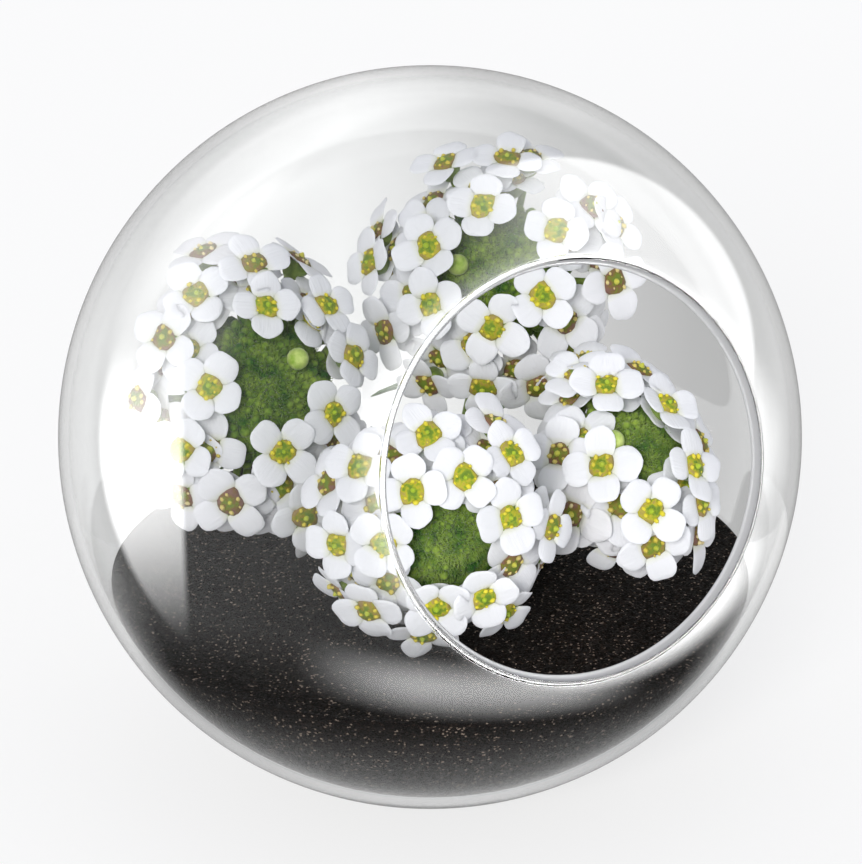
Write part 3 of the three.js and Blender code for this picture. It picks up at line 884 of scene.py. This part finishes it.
DOME_TOP, DOME_FALL = 6.3, 4.3  # height in the middle of a head's green, and how far it falls
BUDS_IN_SQUARE = 6.8  # buds in the square of a head's spread, in mm
BUD_SCATTER = 0.25
BUD_SINK = 0.25
BUD_SIZES = (0.38, 0.66)
GOLDEN_ANGLE = math.pi * (3 - math.sqrt(5))
BRIGHT_BUD_RADIUS = 1.05
BRIGHT_BUD_RISE = 1.1  # over the dome
BRIGHT_STALK_RADIUS = 0.36
HAIR_COUNT = 3000
HAIR_LENGTH = (0.2, 0.55)
HAIR_RADII = (0.06, 0.015)  # at its foot and its tip
HAIR_ROOT = 0.4  # how far its rod goes back from its foot
HAIR_LIFT = 0.3  # of its foot over the dome


def dome_height(radius, spread):
    """Height of the green dome over the crown: 6.3 - 4.3 (r / spread)^2."""
    return DOME_TOP - DOME_FALL * (radius / spread) ** 2


def buds_of(head):
    """Eggs on the dome: r = spread sqrt((i + 0.4) / n) at i golden angles, half sunk in it, each
    leaning out with the dome, and a little off by chance in place, lean and size."""
    rng = np.random.default_rng(head["seed"] + 2)
    dome, spread = turned_to(head["axis"]), head["bud_spread"]
    count = int(BUDS_IN_SQUARE * spread**2)
    i = np.arange(count)
    radius = spread * np.sqrt((i + 0.4) / count)
    angle = i * GOLDEN_ANGLE
    local = round_axis(radius, angle, dome_height(radius, spread))
    local = local + rng.uniform(-BUD_SCATTER, BUD_SCATTER, local.shape) - (0, 0, BUD_SINK)
    lean = local * (0.34, 0.34, 0) + (0, 0, 2.2) + rng.uniform(-0.8, 0.8, local.shape)
    out = unit_rows(lean @ dome.T)
    side = unit_rows(np.cross(out, dome[:, 0]))
    size = np.interp(radius, (0, spread), BUD_SIZES) * rng.uniform(0.75, 1.25, count)
    egg, faces = rounded(6, 4, (0.9, 0.9, 0.95))
    columns = np.stack([np.cross(side, out), side, out], axis=2)
    eggs = stamped(egg[None] * size[:, None, None], columns,
                   local @ dome.T + CENTRE + head["crown"])
    return [(egg, faces) for egg in eggs]


def hairs_of(head):
    """Short four-sided hairs, spread evenly over the dome's top, that stand out of it at random
    slants: each a rod from a foot on the dome to a thinner tip."""
    rng = np.random.default_rng(head["seed"] + 3)
    dome, spread = turned_to(head["axis"]), head["bud_spread"]
    radius = spread * np.sqrt(rng.random(HAIR_COUNT))
    angle = 2 * np.pi * rng.random(HAIR_COUNT)
    foot = round_axis(radius, angle, dome_height(radius, spread) + HAIR_LIFT)
    slant = rng.uniform(-1.6, 1.6, foot.shape) * (1, 1, 0.4)
    out = unit_rows(foot * (0.3, 0.3, 0) + (0, 0, 1.6) + slant)
    side = unit_rows(np.cross(out, [1.0, 0.2, 0.1]))
    corners = np.stack([side, np.cross(out, side), -side, -np.cross(out, side)], axis=1)
    tip = foot + out * rng.uniform(*HAIR_LENGTH, HAIR_COUNT)[:, None]
    rods = np.concatenate([foot[:, None] - HAIR_ROOT * out[:, None] + corners * HAIR_RADII[0],
                           tip[:, None] + corners * HAIR_RADII[1]], axis=1)
    faces = np.array([[0, 1, 5, 4], [1, 2, 6, 5], [2, 3, 7, 6], [3, 0, 4, 7], [3, 2, 1, 0],
                      [4, 5, 6, 7]])
    points = rods.reshape(-1, 3) @ dome.T + CENTRE + head["crown"]
    return points, copied_faces(faces, 8, HAIR_COUNT)


def bright_buds_of(head):
    """Round buds on rods, each out on its own side of the dome."""
    dome, crown = turned_to(head["axis"]), CENTRE + head["crown"]
    ball, faces = rounded(14, 8, (1.0, 1.0, 1.12))
    rods, balls = [], []
    for reach, degrees in head["bright_buds"]:
        angle = math.radians(degrees)
        height = dome_height(reach, head["bud_spread"]) + BRIGHT_BUD_RISE
        local = np.array([reach * math.cos(angle), reach * math.sin(angle), height])
        foot = crown + dome @ (local * (0.5, 0.5, 0.45))
        top = crown + dome @ local
        rods.append(tube(np.linspace(foot, top, 4), np.full(4, BRIGHT_STALK_RADIUS), 6))
        balls.append((ball @ dome.T * BRIGHT_BUD_RADIUS + top, faces))
    return rods + balls


def add_buds(name, tissues):
    head = HEADS[name]
    spread = head["bud_spread"]
    reach = spread * np.array([1.0, 0.9, 0.75, 0.55, 0.3, 0.04])
    stalk = np.array([[0.6, -3.3], [0.4 * spread, -2.2], [0.78 * spread, 0.1]])
    profile = np.concatenate([stalk, np.stack([reach, dome_height(reach, spread)], axis=1)])
    core = capped(lathe(profile, 24, turned_to(head["axis"]), CENTRE + head["crown"]))
    green = [core, *buds_of(head), hairs_of(head)]
    points, faces, parts = joined(green + bright_buds_of(head))
    add_piece(f"{name}_buds", points, faces, tissues, [f"{name}_stem_and_buds"],
              kinds=np.clip(parts - len(green) + 2, 0, 2))


BUD_TISSUES = [leaf_green("packed_bud_tissue", "#2b5721", "#93ab48", 2.2, 0.8),
               leaf_green("bud_hairs", "#386a27", "#95ae52", 2.2, 0.8),
               leaf_green("open_bud_tissue", "#8aac3a", "#cbdb84", 1.2, 0.45)]
for head_name in HEADS:
    add_buds(head_name, BUD_TISSUES)

# ---------------------------------------------------------------------------------------------
# Stems and leaves
# A soft green stem carries each head from the grit, with a few narrow grey-green leaves that
# arch away from it and are folded along the midrib.

STEM_RADIUS = 0.8
STEM_TAPER = (1.1, 0.85)
STEM_POINTS = 25
STEM_TOP = 3.5  # how far it goes into the dome, past its crown
STEM_NECK = 3  # the straight part under the dome
STEM_LIFT, STEM_REACH = 0.62, 0.42  # pulls of the curve's foot up and of its top back
ROOT_DEPTH = 6.0
LEAF_HALF_WIDTH = 1.2
LEAF_THICKNESS = 0.28
LEAF_ROWS, LEAF_LINES = 13, 7
RIB_SHADES = [(0.03, "#a9bf83"), (0.14, "#6c8a52"), (0.9, "#5b7a45")]


def stem_path(head, share):
    """A cubic curve: straight up out of the grit, then over to the crown along its axis."""
    axis = unit(np.array(head["axis"]))
    foot = np.array([*head["root"], GRIT_LEVEL - ROOT_DEPTH])
    top = CENTRE + head["crown"] + STEM_TOP * axis
    rise = top[2] - foot[2]
    lift = foot + (0, 0, STEM_LIFT * rise)
    reach = top - axis * (STEM_REACH * rise + STEM_NECK)
    share = np.asarray(share)[:, None]
    return (foot * (1 - share) ** 3 + lift * 3 * share * (1 - share) ** 2
            + reach * 3 * share**2 * (1 - share) + top * share**3)


def leaf_blade(length):
    """A lance-shaped blade: half width 0.12 + 0.88 sin(pi s^0.8)^0.8, drawn in at the tip by
    1 - 0.85 s^6, arched as 0.55 s - 0.5 s^2 and folded up from the midrib."""
    share = np.linspace(0, 1, LEAF_ROWS)[:, None]
    across = np.linspace(-1, 1, LEAF_LINES)[None, :]
    lance = 0.12 + 0.88 * np.sin(np.pi * share**0.8) ** 0.8
    half = LEAF_HALF_WIDTH * lance * (1 - 0.85 * share**6)
    height = length * (0.55 * share - 0.5 * share**2) + 0.35 * half * np.abs(across) ** 1.3
    height = height + 0.06 * np.sin(9 * share + 2 * across)
    grid = np.stack(np.broadcast_arrays(length * share, half * across, height), axis=-1)
    grid = grid.reshape(1, -1, 3)
    uv = np.stack(np.broadcast_arrays(share, across), axis=-1).reshape(-1, 2)
    return thickened(grid, LEAF_THICKNESS, LEAF_ROWS, LEAF_LINES)[0], np.tile(uv, (2, 1))


def lance_leaf():
    """Leaf tissue: grey-green under flat-lying silvery hairs, with a paler midrib."""
    material, tree, output = new_material("silver_haired_leaf_tissue")
    _, parts = uv_pattern(tree)
    rib = ramp(tree, math_node(tree, "ABSOLUTE", parts["Y"]), RIB_SHADES)
    hairs = noise(tree, object_place(tree), 0.2, Detail=3.0)
    silver = mapped(tree, hairs, 0.5, 0.8, 0.0, 0.5)
    give_surface(tree, output, {
        "Base Color": mixed_colours(tree, silver, rib, linear("#b4c3a4")), "Roughness": 0.6,
        "Normal": relief(tree, hairs, 0.4, 0.08), "IOR": 1.4, "Sheen Weight": 0.3,
        "Sheen Roughness": 0.4})
    return material


def add_stem(name, stem_tissue, leaf_tissue):
    head = HEADS[name]
    path = stem_path(head, np.linspace(0, 1, STEM_POINTS))
    parts = [tube(path, np.linspace(*STEM_TAPER, STEM_POINTS) * STEM_RADIUS, 12)]
    uvs = [np.zeros((len(parts[0][0]), 2))]
    used, faces, rim = blade_faces(LEAF_ROWS, LEAF_LINES)
    rims = [np.zeros(len(parts[0][0]), dtype=bool)]
    for place, degrees, length in head["leaves"]:
        angle = math.radians(degrees)
        turn = np.array([[math.cos(angle), -math.sin(angle), 0],
                         [math.sin(angle), math.cos(angle), 0], [0, 0, 1]])
        blade, uv = leaf_blade(length)
        parts.append((blade[used] @ turn.T + stem_path(head, [place]), faces))
        uvs.append(uv[used])
        rims.append(rim)
    points, faces, numbers = joined(parts)
    add_piece(f"{name}_stem_and_leaves", points, faces, [stem_tissue, leaf_tissue],
              kinds=numbers > 0, uv=np.concatenate(uvs), rim=np.concatenate(rims))


STEM_TISSUE = leaf_green("soft_stem_tissue", "#5f7a36", "#8b9f55", 2.5, 0.5)
LEAF_TISSUE = lance_leaf()
for head_name in HEADS:
    add_stem(head_name, STEM_TISSUE, LEAF_TISSUE)

# ---------------------------------------------------------------------------------------------
# Studio
# A lit table in a soft white tent, with one large soft lamp over the camera. The tent's bright
# panels are only seen mirrored in the glass. A glowing screen behind the globe, with painted shade
# that darkens to the right, and a glowing card on the table, with a painted shadow ring round the
# globe's foot, are only seen by way of the glass.

TABLE_HALF = 3000.0
TABLE_COLOUR = "#8a8a8a"
TABLE_GLOW = 0.72
TENT_LIGHT = 0.6
TENT_TINT = (0.965, 0.985, 1.05)
FRONT, BACKDROP = 0.35, 0.95  # light that comes through the glass from in front and from behind
FRONT_TO_BACK = (-0.2, 0.5)  # where the one fades to the other, by the direction's part backwards
LAMP_POWER = 2.5
LAMP_TINT = (1.0, 0.985, 0.96)
LAMP_ANGLE = math.radians(20)  # how wide the lamp looks from the globe
LAMP_FROM = np.array([-0.2, -0.88, 0.44])
CARD_GLOW = 0.95
CARD_HALF = 400.0
CARD_HEIGHT = 0.1
# Painted light and shadow on the card: white at the globe's foot, a dark ring where the globe's
# shadow would fall, and pale further out.
CARD_PAINTED_LIGHT_AND_SHADOW = [(0.15, "#ffffff"), (0.26, "#cfcfcf"), (0.33, "#7c7c7c"), (0.39, "#4c4c4c"),
               (0.46, "#808080"), (0.62, "#ededed"), (0.85, "#f2f2f2"), (1.0, "#ffffff")]
CARD_SHADED = 100.0  # the last painted shade is this far out
CARD_CLEAR = (-10.0, 8.0)  # between these y the painted shades fade out towards the back
SCREEN_BEHIND = 42.0  # the globe's centre
SCREEN_FOOT, SCREEN_TOP = 0.5, 150.0
SCREEN_HALF = 120.0
SCREEN_SHADED = 40.0  # its painted shades go from minus this to this, left to right
SCREEN_GLOW = 1.25
# Painted shade: the screen's glow, bright at the left and darker to the right, seen only through
# the glass.
SCREEN_PAINTED_SHADES = [(0.1, "#dcdcdc"), (0.28, "#f5f5f5"), (0.38, "#fbfbfb"), (0.66, "#c9c9c9"),
                 (0.84, "#b6b6b6")]


def add_sheet(name, corners, material):
    """One flat sheet of the stage. The glass mirrors the tent in its place."""
    mesh = bpy.data.meshes.new(name)
    mesh.from_pydata([tuple(MM * c for c in corner) for corner in corners], [], [(0, 1, 2, 3)])
    mesh.materials.append(material)
    sheet = bpy.data.objects.new(name, mesh)
    sheet.visible_glossy = False
    bpy.context.scene.collection.objects.link(sheet)
    return sheet


def level_corners(half, back, height):
    """Corners of a level sheet from -half to half across, and from -half in front to back."""
    return [(-half, -half, height), (half, -half, height), (half, back, height),
            (-half, back, height)]


def add_floor():
    """A level sheet, wide enough to reach the horizon."""
    material, tree, output = new_material("lit_opal_acrylic")
    give_surface(tree, output, {
        "Base Color": linear(TABLE_COLOUR), "Roughness": 0.9, "Specular IOR Level": 0.1,
        "Emission Color": WHITE, "Emission Strength": TABLE_GLOW})
    add_sheet("floor", level_corners(TABLE_HALF, TABLE_HALF, 0), material)


def glowing(name, strength):
    """A sheet that glows with painted light and shade, and adds no light of its own to the scene.
    Also gives its tree, its light's colour input and the place on it."""
    material, tree, output = new_material(name)
    light = add_node(tree, "ShaderNodeEmission", {"Strength": strength})
    tree.links.new(light.outputs[0], output.inputs["Surface"])
    material.cycles.emission_sampling = "NONE"
    return material, tree, light.inputs["Color"], object_place(tree)


def add_glass_card(name, corners, material):
    """A sheet that only light on its way through the glass meets."""
    card = add_sheet(name, corners, material)
    card.visible_camera = False
    card.visible_diffuse = False
    card.visible_shadow = False


def add_screen():
    """It stands upright and glows with painted shade: brightest a little left of its middle,
    darker to the right.
    """
    # The screen is a glowing sheet of painted light and shade, not lit paper.
    paper, tree, colour, place = glowing("painted_shade_screen", SCREEN_GLOW)
    parts = add_node(tree, "ShaderNodeSeparateXYZ", {"Vector": place})
    across = mapped(tree, parts.outputs["X"], -SCREEN_SHADED * MM, SCREEN_SHADED * MM)
    tree.links.new(ramp(tree, across, SCREEN_PAINTED_SHADES), colour)
    ends = [(-SCREEN_HALF, SCREEN_BEHIND), (SCREEN_HALF, SCREEN_BEHIND)]
    add_glass_card("screen", [(*end, SCREEN_FOOT) for end in ends]
                   + [(*end, SCREEN_TOP) for end in ends[::-1]], paper)


def add_card():
    """Its painted light and shadow go by the distance from the globe's foot: white next to it,
    then a dark painted shadow ring, and clear towards the back.
    """
    card, tree, colour, place = glowing("painted_shadow_card", CARD_GLOW)
    away = add_node(tree, "ShaderNodeVectorMath", {0: place}, operation="LENGTH")
    shade = ramp(tree, mapped(tree, away.outputs["Value"], 0.0, CARD_SHADED * MM), CARD_PAINTED_LIGHT_AND_SHADOW)
    parts = add_node(tree, "ShaderNodeSeparateXYZ", {"Vector": place})
    back = mapped(tree, parts.outputs["Y"], *[y * MM for y in CARD_CLEAR])
    tree.links.new(mixed_colours(tree, back, shade, WHITE), colour)
    add_glass_card("card", level_corners(CARD_HALF, SCREEN_BEHIND, CARD_HEIGHT), card)


def add_lamp():
    data = bpy.data.lights.new("soft_lamp", "SUN")
    data.energy = LAMP_POWER
    data.color = LAMP_TINT
    data.angle = LAMP_ANGLE
    lamp = bpy.data.objects.new("soft_lamp", data)
    lamp.rotation_euler = Vector(LAMP_FROM).to_track_quat("Z", "Y").to_euler()
    lamp.visible_glossy = False
    lamp.visible_transmission = False
    bpy.context.scene.collection.objects.link(lamp)


# The panels, each as it is seen mirrored from the front, where the globe is a disc of radius 1
# round (0, 0): its light that reaches the eye, a disc (x, y, radius, softness), the discs that are
# cut out of it, and its fades, each from a dark point to a bright one (x, y, x, y). A disc of
# radius 10 gives a straight edge.
PANELS = {
    "upper_left": (0.07, (0.04, 0.03, 0.92, 0.015), [(0.14, 0.12, 0.77, 0.025)],
                   [(-0.9, 0.1, -0.8, 0.5)]),
    "left_edge": (0.07, (0.0, 0.0, 0.99, 0.01), [(0.06, 0.0, 0.955, 0.02)],
                  [(0.0, 0.75, 0.0, 0.2), (0.0, -0.5, 0.0, -0.2)]),
    "right_edge": (0.1, (0.0, 0.0, 0.99, 0.01), [(-0.06, 0.0, 0.93, 0.02)],
                   [(0.1, 0.0, 0.4, 0.0), (0.0, -0.6, 0.0, -0.3)]),
    "upper_right": (0.3, (0.348, 0.228, 0.51, 0.008), [], [(0.12, 0.25, 0.5, 0.4)]),
    "left_window": (0.75, (-0.1, 0.0, 0.77, 0.012), [(9.35, 0.0, 10.0, 0.012)],
                    [(-0.73, 0.3, -0.73, -0.16), (-0.73, -0.56, -0.73, -0.06)]),
    # A faint panel whose mirrored light pales the glass on the left.
    "left_faint_reflection": (0.1, (-0.25, 0.1, 0.60, 0.04), [(0.25, 0.1, 0.8, 0.08)],
                  [(-0.7, -0.1, -0.7, 0.2)]),
    "mouth": (0.9, (0.445, -0.104, 0.2, 0.1), [], []),
    "round_mouth": (0.40, (0.375, -0.085, 0.545, 0.055), [(0.445, -0.104, 0.42, 0.01)],
                    [(0.75, -0.6, 0.4, -0.2), (0.0, -0.54, 0.0, -0.34)]),
    "under_mouth": (0.95, (0.375, -0.10, 0.54, 0.04), [(0.445, -0.104, 0.42, 0.01)],
                    [(-0.05, -0.58, 0.38, -0.58), (0.9, -0.2, 0.9, -0.5)]),
    "low_band": (0.33, (0.15, 0.78, 1.49, 0.05), [(0.15, 0.83, 1.447, 0.045)],
                 [(-0.38, -0.6, 0.0, -0.65), (0.6, -0.66, 0.35, -0.66)]),
}
RIM_LIGHT = 0.3  # the tent itself, mirrored near the globe's outline
RIM_WIDTH = 0.4
MIRRORED_HEAD_ON = 0.043  # the share of light that glass mirrors straight back


def falling(tree, value, full, none):
    """A smooth step that is 1 below full and 0 above none."""
    return mapped(tree, value, none, full, interpolation_type="SMOOTHSTEP")


def panel_light(tree, u, v, light, disc, cuts, fades):
    """The light of one panel at (u, v): its disc, less its cuts, times its fades."""

    def disc_share(x, y, radius, softness):
        place = add_node(tree, "ShaderNodeCombineXYZ", {
            "X": math_node(tree, "SUBTRACT", u, x), "Y": math_node(tree, "SUBTRACT", v, y)})
        far = add_node(tree, "ShaderNodeVectorMath", {0: place.outputs[0]}, operation="LENGTH")
        return falling(tree, far.outputs["Value"], radius - softness, radius + softness)

    share = disc_share(*disc)
    for cut in cuts:
        left = math_node(tree, "SUBTRACT", 1.0, disc_share(*cut))
        share = math_node(tree, "MULTIPLY", share, left)
    for x0, y0, x1, y1 in fades:
        step = np.array([x1 - x0, y1 - y0]) / ((x1 - x0) ** 2 + (y1 - y0) ** 2)
        start = float(step @ (x0, y0))
        along = math_node(tree, "MULTIPLY_ADD", v, float(step[1]),
                          math_node(tree, "MULTIPLY", u, float(step[0])))
        share = math_node(tree, "MULTIPLY", share, falling(tree, along, start + 1, start))
    return math_node(tree, "MULTIPLY", share, light)


def add_tent():
    """Light from all round. A mirrored ray in direction d sees the panels at (u, v), the parts
    along the picture's right and up of the unit vector halfway between d and the front. What is
    mirrored at an angle whose cosine is w is divided by glass's share, 0.043 + 0.957 (1 - w)^5."""
    world = bpy.data.worlds.new("soft_tent")
    bpy.context.scene.world = world
    world.use_nodes = True
    tree = world.node_tree
    tree.nodes.clear()
    output = add_node(tree, "ShaderNodeOutputWorld")
    direction = add_node(tree, "ShaderNodeTexCoord").outputs["Generated"]
    between = add_node(tree, "ShaderNodeVectorMath", {0: direction, 1: tuple(TO_CAMERA)},
                       operation="ADD")
    halfway = add_node(tree, "ShaderNodeVectorMath", {0: between.outputs[0]},
                       operation="NORMALIZE")

    def part(vector, along):
        return add_node(tree, "ShaderNodeVectorMath", {0: vector, 1: tuple(along)},
                        operation="DOT_PRODUCT").outputs["Value"]

    def background(colour, strength):
        return add_node(tree, "ShaderNodeBackground", {"Color": colour, "Strength": strength})

    u, v, w = [part(halfway.outputs[0], along) for along in (CAMERA_RIGHT, CAMERA_UP, TO_CAMERA)]
    light = math_node(tree, "MULTIPLY", falling(tree, w, 0.0, RIM_WIDTH), RIM_LIGHT)
    for panel in PANELS.values():
        light = math_node(tree, "ADD", light, panel_light(tree, u, v, *panel))
    slant = math_node(tree, "POWER", math_node(tree, "SUBTRACT", 1.0, w), 5.0)
    mirrored_share = math_node(tree, "MULTIPLY_ADD", slant, 1 - MIRRORED_HEAD_ON, MIRRORED_HEAD_ON)
    panels = background(WHITE, math_node(tree, "DIVIDE", light, mirrored_share))
    through = background(
        WHITE, mapped(tree, part(direction, -TO_CAMERA), *FRONT_TO_BACK, FRONT, BACKDROP))
    soft = background((*TENT_TINT, 1.0), TENT_LIGHT)
    path = add_node(tree, "ShaderNodeLightPath").outputs
    mirrored = math_node(tree, "MULTIPLY", path["Is Singular Ray"], path["Is Reflection Ray"])
    first = mixed_shaders(tree, mirrored, soft, panels)
    second = mixed_shaders(tree, path["Is Transmission Ray"], first, through)
    tree.links.new(second.outputs[0], output.inputs["Surface"])


add_floor()
add_screen()
add_card()
add_lamp()
add_tent()
bpy.context.scene.view_settings.view_transform = "Standard"
